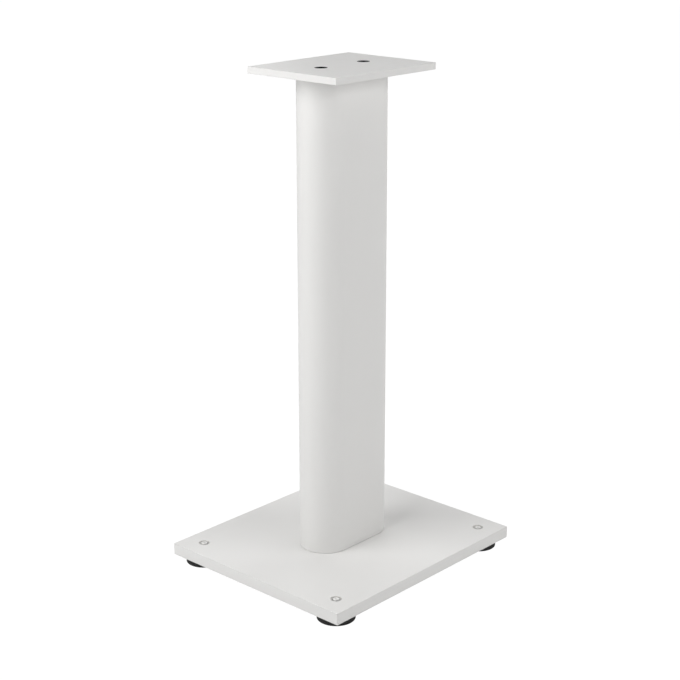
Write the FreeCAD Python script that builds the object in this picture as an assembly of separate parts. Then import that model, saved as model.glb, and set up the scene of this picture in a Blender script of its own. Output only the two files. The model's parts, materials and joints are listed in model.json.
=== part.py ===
"""Floor-standing loudspeaker stand: a small top plate on a flat-sided oblong column, on a wide base board with four levelling feet.

Row frame: millimetres, +Z up, origin on the floor under the middle of the stand.
-Y is the front of the stand (the rounded, narrow end of the column faces it) and +X is the right side as seen from the front.

The column is an aluminium extrusion with two cross ribs, each carrying a screw port on the centre line. The same two ports take the
countersunk screws of the top plate from above and the screws of the base board from below. Each foot is a round glide on a threaded stud
that turns in a steel insert pressed into the board; the stud's socketed end lies flush in a hole in the board's top face, so it is turned
from above and the glide goes up or down by one pitch a turn. Threads are plain cylinders at their outer diameter.
"""
import math
import os

import FreeCAD
import Part

V = FreeCAD.Vector
os.makedirs("parts", exist_ok=True)

# ---------------------------------------------------------------- driving dimensions (mm)
STAND_H = 600.0          # underside of the base board to the top face of the top plate
FOOT_H = 9.5             # floor to the underside of the base board, feet wound right in

BASE_W = 275.0           # along X
BASE_D = 318.5           # along Y
BASE_T = 14.5
BASE_CORNER_R = 0.8      # upright corners of the board
BASE_EDGE_R = 0.5        # top and bottom edges of the board

TOP_W = 136.5
TOP_D = 169.5
TOP_T = 8.0
TOP_CORNER_R = 0.8
TOP_EDGE_R = 0.5

COL_W = 63.6             # across the flats
COL_D = 125.2            # over the round ends
COL_WALL = 3.0
COL_CHAMFER = 0.5        # outer edge at both sawn ends
RIB_T = 2.6              # cross ribs inside the extrusion
PORT_Y = 35.8            # screw ports, in front of and behind the middle
PORT_R = 6.2             # outside radius of a port
PORT_CORE_R = 2.5        # core hole, right through
PORT_TAP_R = 3.05        # tapped length at each end
PORT_TAP_L = 26.0

# top plate screws: M6 countersunk, 90 degrees, hexagon socket
CSK_R = 7.65             # countersink in the plate's face
CSK_THROAT_R = 3.3
TOP_SCREW_R = 3.0
TOP_SCREW_HEAD_R = 7.5
TOP_SCREW_SINK = 0.03    # head below the face
TOP_SCREW_L = 28.0       # overall
TOP_SOCKET_AF = 4.0
TOP_SOCKET_DEPTH = 2.4

# base screws: M6 pan head with a plain washer, in a pocket under the board
BASE_POCKET_R = 9.8
BASE_POCKET_DEPTH = 5.6
BASE_HOLE_R = 3.3
WASHER_R = 9.0
WASHER_HOLE_R = 3.2
WASHER_T = 1.6
BASE_SCREW_R = 3.0
BASE_SCREW_HEAD_R = 5.25
BASE_SCREW_HEAD_H = 3.3
BASE_SCREW_L = 30.0      # under the head
BASE_SOCKET_AF = 4.0
BASE_SOCKET_DEPTH = 2.0

# feet: M8 stud, 1.25 mm pitch, six turns of travel
FOOT_INSET_X = 26.5      # foot axis from the board's side edge
FOOT_INSET_Y = 26.75     # foot axis from the board's front or back edge
PITCH = 1.25
TURNS = 6
STUD_R = 4.0
STUD_SOCKET_AF = 2.5
STUD_SOCKET_DEPTH = 2.0
STUD_FLANGE_R = 7.6
STUD_FLANGE_T = 2.0
STUD_NECK_R = 2.7
STUD_CHAMFER = 0.4
STUD_SINK = 0.05         # end of the stud below the board's top face
INSERT_R = 6.5           # barrel, pressed in
INSERT_FLANGE_R = 9.6
INSERT_FLANGE_T = 1.3
INSERT_L = 13.4          # its end stands 1.1 mm below the board's top face
INSERT_BORE_R = 4.05
WELL_R = 6.5             # open hole in the board above the insert
WELL_EDGE = 0.3
PAD_R = 22.6
PAD_BOTTOM = 0.4         # the pad's rim above the floor
PAD_TOP = 9.0
PAD_EDGE_R = 1.0
PAD_TOP_EDGE_R = 0.6
POCKET_R = 7.9           # pocket for the stud's flange
POCKET_TOP = 4.4
PAD_NECK_R = 2.78
SOLE_R = 18.0
SOLE_T = 2.0
SOLE_SEAT_R = 18.05

# ---------------------------------------------------------------- derived levels
TRAVEL = PITCH * TURNS
Z_BASE_LO = FOOT_H
Z_BASE_HI = FOOT_H + BASE_T
Z_TOP_HI = FOOT_H + STAND_H
Z_TOP_LO = Z_TOP_HI - TOP_T
COL_L = Z_TOP_LO - Z_BASE_HI
FOOT_X = BASE_W / 2 - FOOT_INSET_X
FOOT_Y = BASE_D / 2 - FOOT_INSET_Y
FEET = {
    "front_left": (-FOOT_X, -FOOT_Y),
    "front_right": (FOOT_X, -FOOT_Y),
    "rear_left": (-FOOT_X, FOOT_Y),
    "rear_right": (FOOT_X, FOOT_Y),
}
PORTS = {"front": -PORT_Y, "rear": PORT_Y}


def cyl(r, z0, z1, x=0.0, y=0.0):
    return Part.makeCylinder(r, z1 - z0, V(x, y, z0), V(0, 0, 1))


def cone(r0, r1, z0, z1, x=0.0, y=0.0):
    return Part.makeCone(r0, r1, z1 - z0, V(x, y, z0), V(0, 0, 1))


def hexagon(af, z0, z1, x=0.0, y=0.0):
    r = af / math.sqrt(3.0)
    pts = [V(x + r * math.cos(math.radians(60 * i)), y + r * math.sin(math.radians(60 * i)), z0) for i in range(6)]
    return Part.Face(Part.makePolygon(pts + [pts[0]])).extrude(V(0, 0, z1 - z0))


def slab(w, d, z0, z1, corner_r, edge_r):
    """A plate centred on the Z axis with rounded upright corners and softly rounded top and bottom edges."""
    s = Part.makeBox(w, d, z1 - z0, V(-w / 2, -d / 2, z0))
    s = s.makeFillet(corner_r, [e for e in s.Edges if abs(e.Vertexes[0].Z - e.Vertexes[-1].Z) > 1.0])
    rim = [e for e in s.Edges if all(abs(v.Z - z0) < 1e-6 for v in e.Vertexes) or all(abs(v.Z - z1) < 1e-6 for v in e.Vertexes)]
    return s.makeFillet(edge_r, rim)


def oblong(w, d, z0, z1):
    """An upright prism with two flat sides and two half-round ends, long in Y."""
    r, h = w / 2, d / 2 - w / 2
    a, b = V(r, -h, z0), V(r, h, z0)
    c, e = V(-r, h, z0), V(-r, -h, z0)
    edges = [
        Part.LineSegment(a, b).toShape(),
        Part.Arc(b, V(0, h + r, z0), c).toShape(),
        Part.LineSegment(c, e).toShape(),
        Part.Arc(e, V(0, -h - r, z0), a).toShape(),
    ]
    return Part.Face(Part.Wire(edges)).extrude(V(0, 0, z1 - z0))


def revolve(points, x=0.0, y=0.0):
    """A solid of revolution about the upright axis through x, y from (radius, z) points."""
    ps = [V(x + r, y, z) for r, z in points]
    return Part.Face(Part.makePolygon(ps + [ps[0]])).revolve(V(x, y, 0), V(0, 0, 1), 360)


def round_edges(shape, z):
    return [e for e in shape.Edges if len(e.Vertexes) == 1 and abs(e.Vertexes[0].Z - z) < 1e-6]


def solid(shape):
    shape = shape.removeSplitter()
    found = shape.Solids
    assert len(found) == 1, len(found)
    assert found[0].isValid()
    return found[0]


made = {}

# ---------------------------------------------------------------- top plate: countersunk for its two screws
plate = slab(TOP_W, TOP_D, Z_TOP_LO, Z_TOP_HI, TOP_CORNER_R, TOP_EDGE_R)
for y in PORTS.values():
    plate = plate.cut(cyl(CSK_THROAT_R, Z_TOP_LO - 1, Z_TOP_HI + 1, 0, y))
    depth = CSK_R - CSK_THROAT_R
    plate = plate.cut(cone(CSK_THROAT_R, CSK_R + 1.0, Z_TOP_HI - depth, Z_TOP_HI + 1.0, 0, y))
made["top_plate"] = solid(plate)

# ---------------------------------------------------------------- column: oblong tube with two ribs and two screw ports
outer = oblong(COL_W, COL_D, Z_BASE_HI, Z_TOP_LO)
rims = [e for e in outer.Edges if all(abs(v.Z - Z_BASE_HI) < 1e-6 for v in e.Vertexes) or all(abs(v.Z - Z_TOP_LO) < 1e-6 for v in e.Vertexes)]
outer = outer.makeChamfer(COL_CHAMFER, rims)
inner = oblong(COL_W - 2 * COL_WALL, COL_D - 2 * COL_WALL, Z_BASE_HI - 1, Z_TOP_LO + 1)
column = outer.cut(inner)
half_in = COL_W / 2 - COL_WALL + 0.6
for y in PORTS.values():
    rib = Part.makeBox(2 * half_in, RIB_T, COL_L, V(-half_in, y - RIB_T / 2, Z_BASE_HI))
    column = column.fuse(rib).fuse(cyl(PORT_R, Z_BASE_HI, Z_TOP_LO, 0, y))
for y in PORTS.values():
    column = column.cut(cyl(PORT_CORE_R, Z_BASE_HI - 1, Z_TOP_LO + 1, 0, y))
    column = column.cut(cyl(PORT_TAP_R, Z_BASE_HI - 1, Z_BASE_HI + PORT_TAP_L, 0, y))
    column = column.cut(cyl(PORT_TAP_R, Z_TOP_LO - PORT_TAP_L, Z_TOP_LO + 1, 0, y))
made["column"] = solid(column)

# ---------------------------------------------------------------- base board: four foot holes, two screw pockets underneath
board = slab(BASE_W, BASE_D, Z_BASE_LO, Z_BASE_HI, BASE_CORNER_R, BASE_EDGE_R)
for x, y in FEET.values():
    board = board.cut(cyl(WELL_R, Z_BASE_LO - 1, Z_BASE_HI + 1, x, y))
    board = board.cut(cone(WELL_R, WELL_R + WELL_EDGE + 1.0, Z_BASE_HI - WELL_EDGE, Z_BASE_HI + 1.0, x, y))
    board = board.cut(cyl(INSERT_FLANGE_R + 0.1, Z_BASE_LO - 1, Z_BASE_LO + INSERT_FLANGE_T, x, y))
for y in PORTS.values():
    board = board.cut(cyl(BASE_HOLE_R, Z_BASE_LO - 1, Z_BASE_HI + 1, 0, y))
    board = board.cut(cyl(BASE_POCKET_R, Z_BASE_LO - 1, Z_BASE_LO + BASE_POCKET_DEPTH, 0, y))
made["base_plate"] = solid(board)

# ---------------------------------------------------------------- screws and washers
for name, y in PORTS.items():
    z1 = Z_TOP_HI - TOP_SCREW_SINK
    z_cone = Z_TOP_HI - (CSK_R - TOP_SCREW_HEAD_R)             # where the head's rim meets the countersink
    pts = [(0, z1), (TOP_SCREW_HEAD_R - 0.05, z1), (TOP_SCREW_HEAD_R, z1 - 0.05), (TOP_SCREW_HEAD_R, z_cone),
           (TOP_SCREW_R, z_cone - (TOP_SCREW_HEAD_R - TOP_SCREW_R)), (TOP_SCREW_R, z1 - TOP_SCREW_L + 0.8),
           (TOP_SCREW_R - 0.8, z1 - TOP_SCREW_L), (0, z1 - TOP_SCREW_L)]
    screw = revolve(pts, 0, y).cut(hexagon(TOP_SOCKET_AF, z1 - TOP_SOCKET_DEPTH, z1 + 1, 0, y))
    screw = screw.cut(cone(TOP_SOCKET_AF / 2 - 0.1, TOP_SOCKET_AF / 2 + 1.4, z1 - 0.5, z1 + 1.0, 0, y))
    made["top_screw_" + name] = solid(screw)

    z0 = Z_BASE_LO + BASE_POCKET_DEPTH                        # seat of the washer
    washer = cyl(WASHER_R, z0 - WASHER_T, z0, 0, y)
    washer = washer.makeChamfer(0.25, round_edges(washer, z0) + round_edges(washer, z0 - WASHER_T))
    made["base_washer_" + name] = solid(washer.cut(cyl(WASHER_HOLE_R, z0 - WASHER_T - 1, z0 + 1, 0, y)))

    zh = z0 - WASHER_T                                        # under the head
    zl = zh - BASE_SCREW_HEAD_H
    pts = [(0, zl), (BASE_SCREW_HEAD_R - 1.9, zl), (BASE_SCREW_HEAD_R - 1.1, zl + 0.25), (BASE_SCREW_HEAD_R - 0.45, zl + 0.9),
           (BASE_SCREW_HEAD_R - 0.1, zl + 1.7), (BASE_SCREW_HEAD_R, zl + 2.5), (BASE_SCREW_HEAD_R, zh),
           (BASE_SCREW_R, zh), (BASE_SCREW_R, zh + BASE_SCREW_L - 0.8), (BASE_SCREW_R - 0.8, zh + BASE_SCREW_L), (0, zh + BASE_SCREW_L)]
    screw = revolve(pts, 0, y).cut(hexagon(BASE_SOCKET_AF, zl - 1, zl + BASE_SOCKET_DEPTH, 0, y))
    made["base_screw_" + name] = solid(screw)

# ---------------------------------------------------------------- feet: insert, stud, pad and sole
for name, (x, y) in FEET.items():
    zi = Z_BASE_LO
    top = zi + INSERT_L
    insert = cyl(INSERT_R, zi + 0.5, top - 0.5, x, y).fuse(cone(INSERT_R, INSERT_R - 0.4, top - 0.5, top, x, y))
    insert = insert.fuse(cyl(INSERT_FLANGE_R, zi + 0.02, zi + INSERT_FLANGE_T, x, y))
    insert = insert.cut(cyl(INSERT_BORE_R, zi - 1, top + 1, x, y))
    insert = insert.cut(cone(INSERT_BORE_R + 1.0, INSERT_BORE_R, zi, zi + 1.0, x, y))
    insert = insert.cut(cone(INSERT_BORE_R, INSERT_BORE_R + 0.6, top - 0.6, top, x, y))
    made["foot_insert_" + name] = solid(insert)

    zf = POCKET_TOP - 0.12 - STUD_FLANGE_T                    # the flange is captive in the pad
    zs = PAD_TOP + 0.08                                       # the shoulder bears on the pad
    zt = Z_BASE_HI - STUD_SINK
    pts = [(0, zf), (STUD_FLANGE_R - 0.3, zf), (STUD_FLANGE_R, zf + 0.3), (STUD_FLANGE_R, zf + STUD_FLANGE_T - 0.3),
           (STUD_FLANGE_R - 0.3, zf + STUD_FLANGE_T), (STUD_NECK_R, zf + STUD_FLANGE_T), (STUD_NECK_R, zs), (STUD_R - 0.3, zs), (STUD_R, zs + 0.3),
           (STUD_R, zt - STUD_CHAMFER), (STUD_R - STUD_CHAMFER, zt), (0, zt)]
    stud = revolve(pts, x, y).cut(hexagon(STUD_SOCKET_AF, zt - STUD_SOCKET_DEPTH, zt + 1, x, y))
    stud = stud.cut(cone(STUD_SOCKET_AF / 2 - 0.1, STUD_SOCKET_AF / 2 + 1.4, zt - 0.45, zt + 1.05, x, y))
    made["foot_stud_" + name] = solid(stud)

    pad = cyl(PAD_R, PAD_BOTTOM, PAD_TOP, x, y)
    pad = pad.makeFillet(PAD_EDGE_R, round_edges(pad, PAD_BOTTOM))
    pad = pad.makeFillet(PAD_TOP_EDGE_R, round_edges(pad, PAD_TOP))
    pad = pad.cut(cyl(SOLE_SEAT_R, PAD_BOTTOM - 1, SOLE_T, x, y))
    pad = pad.cut(cyl(POCKET_R, SOLE_T - 0.5, POCKET_TOP, x, y))
    pad = pad.cut(cyl(PAD_NECK_R, POCKET_TOP - 0.5, PAD_TOP + 1, x, y))
    made["foot_pad_" + name] = solid(pad)

    sole = cyl(SOLE_R, 0.0, SOLE_T, x, y)
    sole = sole.makeChamfer(0.4, round_edges(sole, 0.0))
    made["foot_sole_" + name] = solid(sole)

# thread still engaged when a foot is wound right out
engaged = min(Z_BASE_HI - STUD_SINK - STUD_CHAMFER - TRAVEL, Z_BASE_LO + INSERT_L) - (Z_BASE_LO + 1.0)
print("travel %.2f mm, thread engaged at full travel: %.1f mm, %.1f turns" % (TRAVEL, engaged, engaged / PITCH))

for name, shape in made.items():
    shape.exportStep("parts/%s.step" % name)
    b = shape.optimalBoundingBox(False)
    print("%-26s %8.2f x %7.2f x %7.2f  z %7.2f to %7.2f  vol %10.0f mm3" % (name, b.XLength, b.YLength, b.ZLength, b.ZMin, b.ZMax, shape.Volume))
print(len(made), "nodes")

# no two pieces overlap at rest
names = list(made)
for i, a in enumerate(names):
    for b in names[i + 1:]:
        if made[a].BoundBox.intersect(made[b].BoundBox):
            v = made[a].common(made[b]).Volume
            if v > 1e-4:
                print("overlap", a, b, "%.4f mm3" % v)
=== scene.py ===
"""White floor-standing loudspeaker stand in a plain pale studio: finishes, fine shapes, light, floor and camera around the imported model."""
import json
import math

import bmesh
import bpy
from mathutils import Matrix, Vector


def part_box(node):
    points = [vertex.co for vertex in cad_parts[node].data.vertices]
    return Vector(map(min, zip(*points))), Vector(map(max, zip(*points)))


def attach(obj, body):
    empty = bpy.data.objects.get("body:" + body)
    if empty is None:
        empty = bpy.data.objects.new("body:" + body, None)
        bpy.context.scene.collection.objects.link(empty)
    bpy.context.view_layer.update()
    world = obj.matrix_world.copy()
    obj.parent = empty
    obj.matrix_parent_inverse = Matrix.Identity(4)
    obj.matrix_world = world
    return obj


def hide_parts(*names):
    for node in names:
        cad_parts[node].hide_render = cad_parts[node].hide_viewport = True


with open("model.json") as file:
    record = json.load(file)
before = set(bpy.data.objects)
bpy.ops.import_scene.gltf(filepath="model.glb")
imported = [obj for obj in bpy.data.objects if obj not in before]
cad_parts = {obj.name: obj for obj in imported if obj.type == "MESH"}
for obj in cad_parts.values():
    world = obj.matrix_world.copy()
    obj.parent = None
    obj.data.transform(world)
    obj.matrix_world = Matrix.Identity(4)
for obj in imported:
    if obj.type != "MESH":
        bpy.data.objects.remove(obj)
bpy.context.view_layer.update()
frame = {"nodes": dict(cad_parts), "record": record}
scene = bpy.context.scene
nodes = frame["nodes"]
FEET = ("front_left", "front_right", "rear_left", "rear_right")

# ------------------------------------------------------------------ camera: the photograph's frame is 680 by 680
FRAME_PX = 680.0
FOCAL_PX = 1548.932
EYE = Vector((1.196866, -1.309321, 0.848287))
RIGHT = Vector((0.7370983, 0.6757851, -0.0007912))
DOWN = Vector((0.2055587, -0.2253239, -0.9523522))
AHEAD = Vector((-0.6437637, 0.7018145, -0.3049993))

cam_data = bpy.data.cameras.new("studio_camera")
cam = bpy.data.objects.new("studio_camera", cam_data)
scene.collection.objects.link(cam)
cam_data.sensor_fit = "HORIZONTAL"
cam_data.sensor_width = 36.0
cam_data.lens = FOCAL_PX / FRAME_PX * 36.0
cam_data.clip_start = 0.05
cam_data.clip_end = 100.0
rot = Matrix((RIGHT, -DOWN, -AHEAD)).transposed().to_4x4()
cam.matrix_world = Matrix.Translation(EYE) @ rot
scene.camera = cam

scene.view_settings.view_transform = "Standard"
scene.view_settings.look = "None"
scene.view_settings.exposure = 0.0
scene.view_settings.gamma = 1.0

MM = 0.001


# ------------------------------------------------------------------ node helpers
class Tree:
    """A few short names for building a material's nodes."""

    def __init__(self, name):
        self.mat = bpy.data.materials.new(name)
        self.mat.use_nodes = True
        self.t = self.mat.node_tree
        self.t.nodes.clear()
        self.out = self.t.nodes.new("ShaderNodeOutputMaterial")
        self.bsdf = self.t.nodes.new("ShaderNodeBsdfPrincipled")
        self.t.links.new(self.bsdf.outputs["BSDF"], self.out.inputs["Surface"])
        self.coord = self.t.nodes.new("ShaderNodeTexCoord").outputs["Object"]
        split = self.t.nodes.new("ShaderNodeSeparateXYZ")
        self.t.links.new(self.coord, split.inputs[0])
        self.x, self.y, self.z = split.outputs

    def put(self, socket, value):
        if isinstance(value, bpy.types.NodeSocket):
            self.t.links.new(value, socket)
        else:
            socket.default_value = value

    def math(self, op, a, b=0.0, c=0.0, clamp=False):
        n = self.t.nodes.new("ShaderNodeMath")
        n.operation = op
        n.use_clamp = clamp
        self.put(n.inputs[0], a)
        self.put(n.inputs[1], b)
        if len(n.inputs) > 2:
            self.put(n.inputs[2], c)
        return n.outputs[0]

    def noise(self, scale, detail=2.0, rough=0.5, coord=None, distort=0.0):
        n = self.t.nodes.new("ShaderNodeTexNoise")
        self.t.links.new(coord or self.coord, n.inputs["Vector"])
        n.inputs["Scale"].default_value = scale
        n.inputs["Detail"].default_value = detail
        n.inputs["Roughness"].default_value = rough
        n.inputs["Distortion"].default_value = distort
        return n.outputs["Fac"]

    def ramp(self, value, lo, hi, to_lo=0.0, to_hi=1.0, smooth=False):
        n = self.t.nodes.new("ShaderNodeMapRange")
        n.interpolation_type = "SMOOTHSTEP" if smooth else "LINEAR"
        self.put(n.inputs["Value"], value)
        n.inputs["From Min"].default_value = lo
        n.inputs["From Max"].default_value = hi
        n.inputs["To Min"].default_value = to_lo
        n.inputs["To Max"].default_value = to_hi
        return n.outputs["Result"]

    def stretch(self, scale):
        n = self.t.nodes.new("ShaderNodeMapping")
        self.t.links.new(self.coord, n.inputs["Vector"])
        n.inputs["Scale"].default_value = scale
        return n.outputs["Vector"]

    def mix(self, fac, a, b):
        n = self.t.nodes.new("ShaderNodeMix")
        n.data_type = "RGBA"
        self.put(n.inputs["Factor"], fac)
        self.put([i for i in n.inputs if i.name == "A" and i.type == "RGBA"][0], a)
        self.put([i for i in n.inputs if i.name == "B" and i.type == "RGBA"][0], b)
        return [o for o in n.outputs if o.type == "RGBA"][0]

    def tint(self, colour, value):
        """colour times value, value being a socket round 1."""
        n = self.t.nodes.new("ShaderNodeVectorMath")
        n.operation = "SCALE"
        self.put(n.inputs[0], colour)
        self.put(n.inputs["Scale"], value)
        return n.outputs["Vector"]

    def bump(self, height, strength, distance, normal=None):
        n = self.t.nodes.new("ShaderNodeBump")
        n.inputs["Strength"].default_value = strength
        n.inputs["Distance"].default_value = distance
        self.put(n.inputs["Height"], height)
        if normal is not None:
            self.t.links.new(normal, n.inputs["Normal"])
        return n.outputs["Normal"]

    def near_face(self, v, middle, half, reach):
        """0 further than reach inside the two faces at middle - half and middle + half, 1 on them."""
        off = self.math("ABSOLUTE", self.math("SUBTRACT", v, middle))
        return self.ramp(off, half - reach, half, smooth=True)

    def arris(self, w, d, z0, z1, reach):
        """1 along all edges of a plate centred on the Z axis, 0 on its open faces."""
        ex = self.near_face(self.x, 0.0, w / 2, reach)
        ey = self.near_face(self.y, 0.0, d / 2, reach)
        ez = self.near_face(self.z, (z0 + z1) / 2, (z1 - z0) / 2, reach)
        pairs = [self.math("MULTIPLY", a, b) for a, b in ((ex, ey), (ey, ez), (ex, ez))]
        return self.math("MAXIMUM", pairs[0], self.math("MAXIMUM", pairs[1], pairs[2]))

    def reach_from(self, cx, cy):
        """Distance from the upright axes at (+-cx, +-cy)."""
        dx = self.math("SUBTRACT", self.math("ABSOLUTE", self.x), cx)
        dy = self.math("SUBTRACT", self.math("ABSOLUTE", self.y), cy)
        return self.math("SQRT", self.math("ADD", self.math("MULTIPLY", dx, dx), self.math("MULTIPLY", dy, dy)))


# ------------------------------------------------------------------ finishes
WHITE = (0.803, 0.797, 0.783)


def white_coat(name, colour, rough, grain_mm, bump_mm, slab=None, edge_highlight=1.0, edge_rough=0.0, brush=False, contact_shadow_ends=None):
    """Satin white coating: orange peel, slight unevenness of shade and gloss, a painted highlight along a slab's edges
    and a painted shadow round the ends of a column.
    """
    m = Tree(name)
    cloud = m.noise(7.0, 3.0, 0.55)
    fleck = m.noise(1400.0, 2.0, 0.6)
    shade = m.math("ADD", m.ramp(cloud, 0.3, 0.7, 0.992, 1.005), m.ramp(fleck, 0.25, 0.75, -0.006, 0.006))
    patch = m.noise(42.0, 3.0, 0.6)
    gloss = m.math("ADD", m.ramp(patch, 0.3, 0.7, rough - 0.03, rough + 0.03), m.ramp(fleck, 0.2, 0.8, -0.03, 0.03))
    peel = m.noise(1000.0 / grain_mm, 1.5, 0.45)
    height = peel
    if slab:
        # painted highlight: the slab's edges are lightened by the edge factor (1.006 on the top plate) and made a
        # little glossier
        uneven = m.ramp(m.noise(260.0, 4.0, 0.7), 0.3, 0.7, 0.35, 1.0)
        edge_tone_mask = m.math("MULTIPLY", m.arris(*slab, 0.5 * MM), uneven)
        shade = m.math("MULTIPLY", shade, m.ramp(edge_tone_mask, 0.0, 1.0, 1.0, edge_highlight))
        gloss = m.math("ADD", gloss, m.math("MULTIPLY", edge_tone_mask, edge_rough))
    if brush:
        drawn = m.noise(900.0, 3.0, 0.6, coord=m.stretch((1.0, 1.0, 0.004)))
        height = m.math("ADD", m.math("MULTIPLY", peel, 0.75), m.math("MULTIPLY", drawn, 0.4))
    if contact_shadow_ends:
        # painted shadow: a dark band, darkened to 0.68 and a little rougher, round the column's sawn, chamfered ends
        # where it meets the base and the top plate
        painted_contact_shadow = m.ramp(m.math("ABSOLUTE", m.math("SUBTRACT", m.z, (contact_shadow_ends[0] + contact_shadow_ends[1]) / 2)), (contact_shadow_ends[1] - contact_shadow_ends[0]) / 2 - 0.55 * MM, (contact_shadow_ends[1] - contact_shadow_ends[0]) / 2 - 0.30 * MM)
        painted_contact_shadow = m.math("MULTIPLY", painted_contact_shadow, m.ramp(m.noise(300.0, 3.0, 0.6), 0.3, 0.7, 0.85, 1.0))
        shade = m.math("MULTIPLY", shade, m.ramp(painted_contact_shadow, 0.0, 1.0, 1.0, 0.68))
        gloss = m.math("ADD", gloss, m.math("MULTIPLY", painted_contact_shadow, 0.2))
    m.put(m.bsdf.inputs["Base Color"], m.tint((*colour,), shade))
    m.put(m.bsdf.inputs["Roughness"], gloss)
    m.bsdf.inputs["Specular IOR Level"].default_value = 0.5
    m.put(m.bsdf.inputs["Normal"], m.bump(height, 1.0, bump_mm * MM))
    return m.mat


def board_coat(name, colour, rough, box):
    """Lacquered fibreboard: satin white outside, a faint darker line along the side faces near the top and bottom
    edges, bare fibre in the screw pockets.
    """
    m = Tree(name)
    w, d, z0, z1 = box
    cloud = m.noise(6.0, 3.0, 0.55)
    fleck = m.noise(1300.0, 2.0, 0.6)
    shade = m.math("ADD", m.ramp(cloud, 0.3, 0.7, 0.992, 1.005), m.ramp(fleck, 0.25, 0.75, -0.006, 0.006))
    side = m.math("MAXIMUM", m.near_face(m.x, 0.0, w / 2, 0.05 * MM), m.near_face(m.y, 0.0, d / 2, 0.05 * MM))
    off = m.math("ABSOLUTE", m.math("SUBTRACT", m.math("ABSOLUTE", m.math("SUBTRACT", m.z, (z0 + z1) / 2)), (z1 - z0) / 2 - 1.15 * MM))
    edge_line = m.math("MULTIPLY", side, m.ramp(off, 0.5 * MM, 0.95 * MM, 1.0, 0.0, smooth=True))
    edge_line = m.math("MULTIPLY", edge_line, m.ramp(m.noise(90.0, 3.0, 0.6), 0.3, 0.7, 0.6, 1.0))
    # the edges darkened slightly and unevenly, to 0.985
    edge_tone_mask = m.math("MULTIPLY", m.arris(w, d, z0, z1, 0.8 * MM), m.ramp(m.noise(240.0, 4.0, 0.7), 0.3, 0.7, 0.2, 1.0))
    shade = m.math("MULTIPLY", shade, m.ramp(edge_line, 0.0, 1.0, 1.0, 0.955))
    shade = m.math("MULTIPLY", shade, m.ramp(edge_tone_mask, 0.0, 1.0, 1.0, 0.985))
    coat = m.tint((*colour,), shade)
    # the wall of each foot hole: coated, a little warmer
    hole = m.math("MULTIPLY", m.ramp(m.reach_from(*FOOT_AT), 6.65 * MM, 6.75 * MM, 1.0, 0.0), m.ramp(m.z, z1 - 0.3 * MM, z1 - 0.1 * MM, 1.0, 0.0))
    coat = m.mix(hole, coat, (*HOLE_WALL, 1.0))
    # bare fibre inside the two pockets underneath
    pocket = m.math("MULTIPLY", m.ramp(m.reach_from(0.0, 35.8 * MM), 9.85 * MM, 9.95 * MM, 1.0, 0.0),
                    m.math("MULTIPLY", m.ramp(m.z, z0 + 0.25 * MM, z0 + 0.5 * MM), m.ramp(m.z, z1 - 2 * MM, z1 - 1 * MM, 1.0, 0.0)))
    fibre = m.noise(1800.0, 5.0, 0.75, coord=m.stretch((1.0, 1.0, 2.5)))
    bare = m.tint((0.36, 0.25, 0.155), m.ramp(fibre, 0.2, 0.8, 0.72, 1.2))
    m.put(m.bsdf.inputs["Base Color"], m.mix(pocket, coat, bare))
    patch = m.noise(38.0, 3.0, 0.6)
    gloss = m.math("ADD", m.ramp(patch, 0.3, 0.7, rough - 0.03, rough + 0.03), m.ramp(fleck, 0.2, 0.8, -0.03, 0.03))
    gloss = m.math("ADD", gloss, m.math("MULTIPLY", pocket, 0.45))
    m.put(m.bsdf.inputs["Roughness"], gloss)
    m.bsdf.inputs["Specular IOR Level"].default_value = 0.5
    peel = m.math("ADD", m.math("MULTIPLY", m.noise(560.0, 1.5, 0.45), m.math("SUBTRACT", 1.0, pocket)), m.math("MULTIPLY", fibre, m.math("MULTIPLY", pocket, 6.0)))
    peel = m.math("SUBTRACT", peel, m.math("MULTIPLY", edge_line, 1.5))
    m.put(m.bsdf.inputs["Normal"], m.bump(peel, 1.0, 0.007 * MM))
    return m.mat


def black_part(name, colour, rough, specular, grain_mm, bump_mm):
    m = Tree(name)
    fleck = m.noise(1000.0 / grain_mm, 3.0, 0.6)
    shade = m.math("ADD", m.ramp(m.noise(60.0, 3.0, 0.6), 0.3, 0.7, 0.85, 1.15), m.ramp(fleck, 0.25, 0.75, -0.1, 0.1))
    m.put(m.bsdf.inputs["Base Color"], m.tint((*colour,), shade))
    m.put(m.bsdf.inputs["Roughness"], m.ramp(m.noise(110.0, 3.0, 0.6), 0.3, 0.7, rough - 0.06, rough + 0.06))
    m.bsdf.inputs["Specular IOR Level"].default_value = specular
    m.put(m.bsdf.inputs["Normal"], m.bump(fleck, 1.0, bump_mm * MM))
    return m.mat


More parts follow.
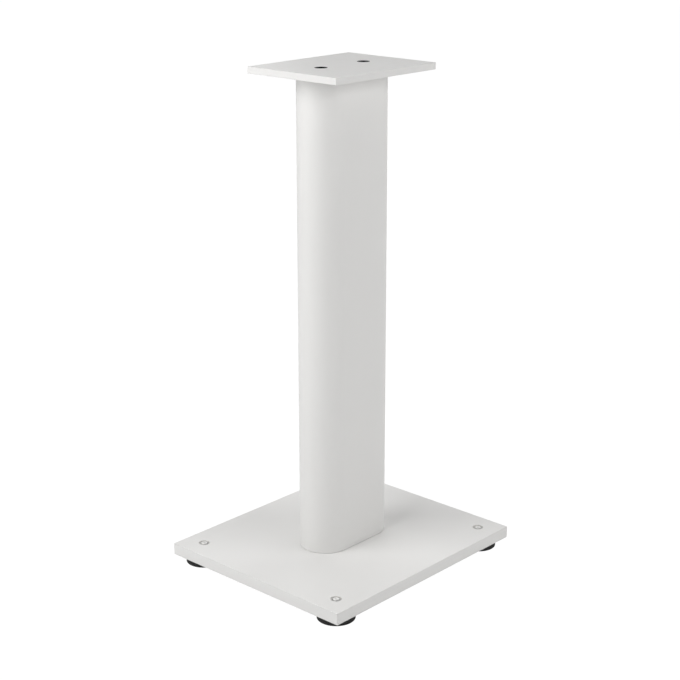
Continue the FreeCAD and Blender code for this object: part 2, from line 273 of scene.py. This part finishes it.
def zinc(name, colour, rough):
    """Zinc plate: a faint crystalline mottle and uneven gloss. The upper ends of the foot studs carry a pale film; the
    threads and insert ends down in their holes carry painted shade, darkened to 0.70.
    """
    m = Tree(name)
    spangle = m.noise(420.0, 4.0, 0.6)
    foot = m.reach_from(*FOOT_AT)
    end = m.ramp(m.z, 20.0 * MM, 21.0 * MM)
    # painted shade: the threads and insert ends down in the foot holes, darkened to 0.70
    recess_shade = m.math("MULTIPLY", m.math("MULTIPLY", m.ramp(foot, 3.3 * MM, 3.5 * MM), m.ramp(foot, 8.0 * MM, 8.2 * MM, 1.0, 0.0)),
                  m.math("MULTIPLY", end, m.ramp(m.z, 23.56 * MM, 23.64 * MM, 1.0, 0.0)))
    tone = m.math("MULTIPLY", m.ramp(spangle, 0.3, 0.7, 0.94, 1.04), m.ramp(recess_shade, 0.0, 1.0, 1.0, 0.70))
    film = m.math("MULTIPLY", m.math("MULTIPLY", end, m.ramp(foot, 8.0 * MM, 8.2 * MM, 1.0, 0.0)), m.math("SUBTRACT", 1.0, recess_shade))
    m.put(m.bsdf.inputs["Base Color"], m.tint((*colour,), tone))
    m.put(m.bsdf.inputs["Metallic"], m.ramp(film, 0.0, 1.0, 1.0, 0.1))
    m.put(m.bsdf.inputs["Roughness"], m.ramp(m.noise(900.0, 3.0, 0.6), 0.3, 0.7, rough - 0.08, rough + 0.06))
    m.put(m.bsdf.inputs["Normal"], m.bump(m.noise(2600.0, 2.0, 0.5), 1.0, 0.003 * MM))
    return m.mat


def size_of(node):
    lo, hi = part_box(node)
    return hi.x - lo.x, hi.y - lo.y, lo.z, hi.z


lo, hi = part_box("foot_insert_front_right")
FOOT_AT = ((lo.x + hi.x) / 2, -(lo.y + hi.y) / 2)
HOLE_WALL = (0.80, 0.785, 0.75)

finish = {
    "white_plate": white_coat("white_plate", WHITE, 0.45, 1.4, 0.006, slab=size_of("top_plate"), edge_highlight=1.006, edge_rough=-0.05),
    "white_column": white_coat("white_column", WHITE, 0.45, 1.4, 0.006, brush=True, contact_shadow_ends=size_of("column")[2:]),
    "white_board": board_coat("white_board", WHITE, 0.47, size_of("base_plate")),
    "black_screw": black_part("black_screw", (0.006, 0.006, 0.006), 0.8, 0.06, 0.5, 0.004),
    "zinc_steel": zinc("zinc_steel", (0.88, 0.875, 0.86), 0.58),
    "black_plastic": black_part("black_plastic", (0.011, 0.011, 0.011), 0.62, 0.4, 0.6, 0.01),
    "black_rubber": black_part("black_rubber", (0.012, 0.012, 0.012), 0.85, 0.3, 0.8, 0.02),
}
slots = {s["node"]: s["material_slot"] for s in frame["record"]["subparts"]}
for name, obj in nodes.items():
    for slot in obj.material_slots:
        slot.material = finish[slots[name]]
body_of_node = {n: body for body, members in frame["record"]["behaviour"]["bodies"].items() for n in members}


# ------------------------------------------------------------------ turned and threaded pieces
def rings_to_mesh(name, x, y, rings, closed=False):
    """A surface through rings about the upright axis at x, y. A ring is (radius or radii, z) in mm; the first and last close on the axis unless closed is set."""
    n = max(len(r) for r, z in rings if isinstance(r, (list, tuple)))
    bm = bmesh.new()
    rows = []
    for r, z in rings:
        radii = r if isinstance(r, (list, tuple)) else [r] * n
        rows.append([bm.verts.new(((x + radii[j] * math.cos(2 * math.pi * j / n)) * MM, (y + radii[j] * math.sin(2 * math.pi * j / n)) * MM, z * MM)) for j in range(n)])
    pairs = list(zip(rows, rows[1:]))
    if closed:
        pairs.append((rows[-1], rows[0]))
    for a, b in pairs:
        for j in range(n):
            k = (j + 1) % n
            bm.faces.new((a[j], a[k], b[k], b[j]))
    if not closed:
        for row, z, flip in ((rows[0], rings[0][1], True), (rows[-1], rings[-1][1], False)):
            tip = bm.verts.new((x * MM, y * MM, z * MM))
            for j in range(n):
                k = (j + 1) % n
                bm.faces.new((row[k], row[j], tip) if flip else (row[j], row[k], tip))
    mesh = bpy.data.meshes.new(name)
    bm.normal_update()
    bm.to_mesh(mesh)
    bm.free()
    mesh.shade_smooth()
    mesh.set_sharp_from_angle(angle=math.radians(38))
    obj = bpy.data.objects.new(name, mesh)
    scene.collection.objects.link(obj)
    return obj


def hex_radii(af, n):
    return [af / 2 / math.cos(math.radians((360.0 * j / n) % 60.0 - 30.0)) for j in range(n)]


def thread_radii(z, pitch, major, depth, n, start, end, runout):
    """Radii round a right-hand 60 degree thread at height z. Its start and end are not used."""
    out = []
    for j in range(n):
        s = (z / pitch - j / n) % 1.0
        cut = min(1.0, max(0.0, (abs(s - 0.5) - 0.0625) / 0.3125))
        out.append(major - depth * cut)
    return out


def threaded(pitch, major, z0, z1, n, tip_chamfer_at=None, chamfer=0.4, shank_at=None):
    """Rings of a thread from z0 up to z1. The thread fades into the plain diameter near shank_at, and narrows over the chamfer at the tip."""
    depth = 0.6134 * pitch
    steps = max(2, round((z1 - z0) / (pitch / 8)))
    rings = []
    for i in range(steps + 1):
        z = z0 + (z1 - z0) * i / steps
        radii = thread_radii(z, pitch, major, depth, n, z0, z1, pitch)
        if shank_at is not None:
            fade = min(1.0, abs(z - shank_at) / pitch)
            radii = [major - (major - r) * fade for r in radii]
        if tip_chamfer_at is not None:
            limit = major - chamfer + abs(z - tip_chamfer_at)
            radii = [min(r, limit) for r in radii]
        rings.append((radii, z))
    return rings


def stand_in(obj, node):
    obj.data.materials.append(finish[slots[node]])
    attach(obj, body_of_node[node])
    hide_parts(node)
    return obj


def middle(node):
    lo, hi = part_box(node)
    return (lo.x + hi.x) / 2 / MM, (lo.y + hi.y) / 2 / MM, lo.z / MM, hi.z / MM


N = 48
for foot in FEET:
    # stud: flange, neck, thread, socketed end
    node = "foot_stud_" + foot
    x, y, z0, z1 = middle(node)
    r = [(0.6, z0), (7.3, z0), (7.6, z0 + 0.3), (7.6, z0 + 1.7), (7.3, z0 + 2.0), (2.7, z0 + 2.0), (2.7, z0 + 6.8), (3.5, z0 + 6.8)]
    r += threaded(1.25, 4.0, z0 + 7.05, z1 - 0.02, N, tip_chamfer_at=z1, chamfer=0.4, shank_at=z0 + 7.05)
    socket = hex_radii(2.5, N)
    r += [(3.5, z1), (1.68, z1), (1.58, z1 - 0.05), ([min(1.5, v) for v in socket], z1 - 0.14), (socket, z1 - 0.4), (socket, z1 - 2.0), (0.3, z1 - 2.5)]
    stand_in(rings_to_mesh("threaded_stud_" + foot, x, y, r), node)

    # insert: flange below, plain barrel, bored and threaded right through
    node = "foot_insert_" + foot
    x, y, z0, z1 = middle(node)
    bore = threaded(1.25, 4.07, z0 + 0.7, z1 - 0.5, N)
    inner = [([v + 0.02 for v in radii], z) for radii, z in reversed(bore)]
    r = [(4.9, z0), (9.35, z0), (9.6, z0 + 0.25), (9.6, z0 + 1.28), (6.5, z0 + 1.28), (6.5, z1 - 0.5), (6.1, z1), (4.7, z1)] + inner
    stand_in(rings_to_mesh("threaded_insert_" + foot, x, y, r, closed=True), node)

    # sole: grooved underneath for grip
    node = "foot_sole_" + foot
    x, y, z0, z1 = middle(node)
    under = [(0.8, z0 + 0.45), (1.6, z0 + 0.45), (1.9, z0)]
    for g in (4.0, 7.0, 10.0, 13.0, 16.0):
        under += [(g - 0.6, z0), (g - 0.3, z0 + 0.6), (g + 0.3, z0 + 0.6), (g + 0.6, z0)]
    r = under + [(17.6, z0), (18.0, z0 + 0.4), (18.0, z1 - 0.1), (17.9, z1), ([0.8] * 96, z1)]
    stand_in(rings_to_mesh("grooved_sole_" + foot, x, y, r), node)

for end in ("front", "rear"):
    # top screw: countersunk head with a hexagon socket, threaded shank
    node = "top_screw_" + end
    x, y, z0, z1 = middle(node)
    socket = hex_radii(4.0, N)
    r = [(0.5, z0), (2.0, z0)] + threaded(1.0, 3.0, z0 + 0.05, z1 - 5.7, N, tip_chamfer_at=z0, chamfer=0.8, shank_at=z1 - 5.7)
    r += [(3.0, z1 - 4.62), (7.5, z1 - 0.12), (7.5, z1 - 0.05), (7.44, z1), (2.62, z1), (2.46, z1 - 0.08), ([min(2.42, v) for v in socket], z1 - 0.25), (socket, z1 - 0.5), (socket, z1 - 2.4), (0.4, z1 - 2.9)]
    stand_in(rings_to_mesh("threaded_top_screw_" + end, x, y, r), node)

    # base screw, head down: button head, socket opening downwards
    node = "base_screw_" + end
    x, y, z0, z1 = middle(node)
    R = 5.25
    r = [(0.4, z0 + 2.4), (socket, z0 + 2.0), (socket, z0 + 0.35), ([min(2.5, v + 0.12) for v in socket], z0 + 0.1), (2.55, z0)]
    r += [(R - 1.9, z0), (R - 1.1, z0 + 0.25), (R - 0.45, z0 + 0.9), (R - 0.1, z0 + 1.7), (R, z0 + 2.5), (R, z0 + 3.3), (3.0, z0 + 3.3), (3.0, z0 + 6.0)]
    r += threaded(1.0, 3.0, z0 + 6.1, z1 - 0.05, N, tip_chamfer_at=z1, chamfer=0.8, shank_at=z0 + 6.1)
    r += [(2.0, z1), (0.5, z1)]
    stand_in(rings_to_mesh("threaded_base_screw_" + end, x, y, r), node)

# ------------------------------------------------------------------ floor
FLOOR_SEEN = 0.04        # share of the floor's own lit tone that the camera sees
FLOOR_GLOW = 1.01        # the backdrop tone that the camera sees
floor_mesh = bpy.data.meshes.new("studio_floor")
bm = bmesh.new()
bmesh.ops.create_grid(bm, x_segments=24, y_segments=24, size=20.0)
bm.to_mesh(floor_mesh)
bm.free()
floor = bpy.data.objects.new("studio_floor", floor_mesh)
scene.collection.objects.link(floor)
floor.location.z = -0.2 * MM
ft = Tree("studio_floor")
seen = ft.t.nodes.new("ShaderNodeLightPath").outputs["Is Camera Ray"]
pale = ft.math("MULTIPLY", ft.ramp(ft.noise(3.0, 3.0), 0.3, 0.7, 0.985, 1.0), ft.ramp(seen, 0.0, 1.0, 1.0, FLOOR_SEEN))
ft.put(ft.bsdf.inputs["Base Color"], ft.tint((0.90, 0.90, 0.90), pale))
ft.bsdf.inputs["Roughness"].default_value = 0.9
ft.bsdf.inputs["Specular IOR Level"].default_value = 0.0
ft.bsdf.inputs["Emission Color"].default_value = (1.0, 1.0, 1.0, 1.0)
ft.put(ft.bsdf.inputs["Emission Strength"], ft.math("MULTIPLY", seen, FLOOR_GLOW))      # a lit backdrop that doesn't light the stand
floor_mesh.materials.append(ft.mat)


# ------------------------------------------------------------------ studio light
def softbox(name, place, aim, width, height, watts, colour=(1.0, 1.0, 1.0)):
    data = bpy.data.lights.new(name, "AREA")
    data.shape = "RECTANGLE"
    data.size, data.size_y = width, height
    data.energy = watts
    data.color = colour
    o = bpy.data.objects.new(name, data)
    scene.collection.objects.link(o)
    o.location = place
    o.rotation_euler = (Vector(aim) - Vector(place)).to_track_quat("-Z", "Y").to_euler()
    o.visible_camera = False
    return o


AIM = (0, 0, 0.3)
RING = (      # name, angle from +X in degrees, distance, height, side, watts
    ("front_left", -120, 1.3, 0.9, 0.7, 5.40), ("front_left_high", -120, 1.3, 1.7, 0.7, 4.61),
    ("front", -90, 1.3, 0.9, 0.7, 3.96), ("front_high", -90, 1.3, 1.7, 0.7, 7.01),
    ("right", 0, 1.3, 0.9, 0.7, 2.93), ("right_rear", 30, 1.3, 0.9, 0.7, 6.41),
    ("rear_high", 90, 3.0, 2.6, 1.4, 18.79),
    ("rear_left_low", 120, 3.0, 0.3, 1.4, 9.55), ("rear_left", 120, 3.0, 1.3, 1.4, 3.88),
    ("left_rear_far", 150, 3.0, 1.3, 1.4, 4.69), ("left_rear", 150, 1.3, 0.9, 0.7, 1.71),
)
for name, angle, reach, height, side, watts in RING:
    turn = math.radians(angle)
    softbox("softbox_" + name, (reach * math.cos(turn), reach * math.sin(turn), height), AIM, side, side, watts)

world = bpy.data.worlds.new("studio")
scene.world = world
world.use_nodes = True
wt = world.node_tree
back = wt.nodes["Background"]
back.inputs["Color"].default_value = (1.0, 1.0, 1.0, 1.0)
path = wt.nodes.new("ShaderNodeLightPath")
level = wt.nodes.new("ShaderNodeMapRange")
wt.links.new(path.outputs["Is Camera Ray"], level.inputs["Value"])
level.inputs["To Min"].default_value = 0.127
level.inputs["To Max"].default_value = 1.04
wt.links.new(level.outputs["Result"], back.inputs["Strength"])
